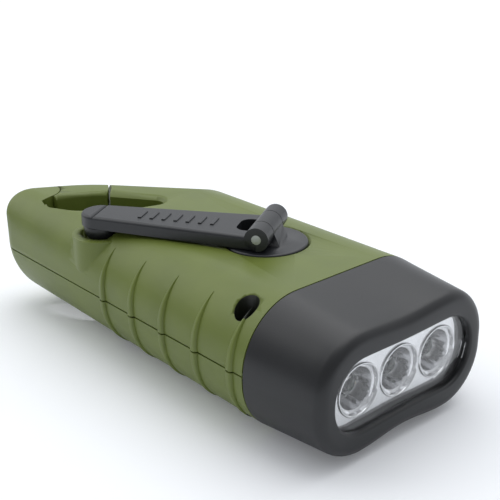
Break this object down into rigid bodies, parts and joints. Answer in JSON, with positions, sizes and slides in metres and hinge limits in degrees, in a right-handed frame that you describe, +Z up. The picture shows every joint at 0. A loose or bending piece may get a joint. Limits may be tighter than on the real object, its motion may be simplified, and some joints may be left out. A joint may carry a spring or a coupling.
{
  "type": "hand crank flashlight",
  "caption": "Hand crank flashlight: ribbed olive body, folding crank with a gear-driven generator, sprung carabiner gate in the tail, black head with lens and reflector, solar panel beneath.",
  "frame": {"origin": "on the resting surface, under the middle of the object's box", "axes": "+X from the carabiner tail to the light head, +Z up from the solar side, on which it rests, to the crank side; the crank knob's pocket is on the -Y side"},
  "size_m": [0.121, 0.0564, 0.0371],
  "materials": {
    "shell_green": "fine moulded texture, olive green",
    "head_black": "fine moulded texture, black",
    "crank_black": "satin black moulding",
    "lens_clear": "clear moulded window",
    "reflector_chrome": "metallised plastic",
    "led_clear": "clear epoxy with a pale chip",
    "board_green": "solder mask",
    "solar_cells": "dark blue cells with thin silver lines",
    "cover_clear": "clear cover",
    "button_rubber": "soft black push button",
    "switch_black": "small moulded switch",
    "steel": "plated steel",
    "screw_black": "blackened steel",
    "brass": "turned brass",
    "gear_white": "natural acetal",
    "magnet_dark": "ferrite",
    "coil_copper": "enamelled copper wire",
    "plate_black": "inner moulding"
  },
  "bodies": {
    "case": {"top_shell": "shell_green", "bottom_shell": "shell_green", "case_screws": "screw_black", "bezel": "head_black", "lens": "lens_clear", "reflector": "reflector_chrome", "led_board": "board_green", "led_1": "led_clear", "led_2": "led_clear", "led_3": "led_clear", "solar_panel": "solar_cells", "panel_cover": "cover_clear", "tact_switch": "switch_black", "main_board": "board_green", "board_screws": "steel", "battery_cell": "steel", "battery_clip": "steel", "gear_plate": "plate_black", "plate_screws": "steel", "gear_pins": "steel", "crank_bush": "brass", "stator_core": "steel", "generator_coil": "coil_copper", "gate_pin": "steel", "gate_spring": "steel"},
    "crank": {"crank_disc": "crank_black", "drive_gear": "gear_white", "crank_screw": "steel"},
    "arm": {"crank_arm": "crank_black", "hinge_pin": "steel", "knob_screw": "steel"},
    "knob": {"crank_knob": "crank_black"},
    "first_gear": {"first_gear": "gear_white"},
    "second_gear": {"second_gear": "gear_white"},
    "rotor": {"rotor_shaft": "steel", "rotor_magnet": "magnet_dark"},
    "gate": {"gate": "shell_green"},
    "button": {"power_button": "button_rubber"}
  },
  "joints": [
    {"name": "crank_spin", "type": "hinge", "parent": "case", "child": "crank", "pos_m": [0.0161, 0.0015, 0.031], "axis": [0, 0, -1], "continuous": true},
    {"name": "arm_fold", "type": "hinge", "parent": "crank", "child": "arm", "pos_m": [0.0161, 0.0015, 0.0343], "axis": [-0.53, 0.848, 0], "range_deg": [0, 180]},
    {"name": "knob_spin", "type": "hinge", "parent": "arm", "child": "knob", "pos_m": [-0.01901, -0.02044, 0.028], "axis": [0, 0, 1], "continuous": true},
    {"name": "first_gear_spin", "type": "hinge", "parent": "case", "child": "first_gear", "pos_m": [0.0025, 0.00784, 0.022], "axis": [0, 0, -1], "continuous": true},
    {"name": "second_gear_spin", "type": "hinge", "parent": "case", "child": "second_gear", "pos_m": [-0.00636, -0.00273, 0.018], "axis": [0, 0, -1], "continuous": true},
    {"name": "rotor_spin", "type": "hinge", "parent": "case", "child": "rotor", "pos_m": [0.00523, -0.00584, 0.01], "axis": [0, 0, -1], "continuous": true},
    {"name": "gate_swing", "type": "hinge", "parent": "case", "child": "gate", "pos_m": [-0.0525, -0.0195, 0.016], "axis": [0, 0, -1], "range_deg": [0, 27], "stiffness_Nm_per_rad": 0.02, "springref_deg": -22.92},
    {"name": "button_press", "type": "slide", "parent": "case", "child": "button", "axis": [0, 0, 1], "range_m": [0, 0.001], "stiffness_N_per_m": 300, "springref_m": -0.0005}
  ],
  "couplings": [
    {"joint": "first_gear_spin", "follows": "crank_spin", "ratio": -4},
    {"joint": "second_gear_spin", "follows": "crank_spin", "ratio": 14.4},
    {"joint": "rotor_spin", "follows": "crank_spin", "ratio": -43.2}
  ]
}
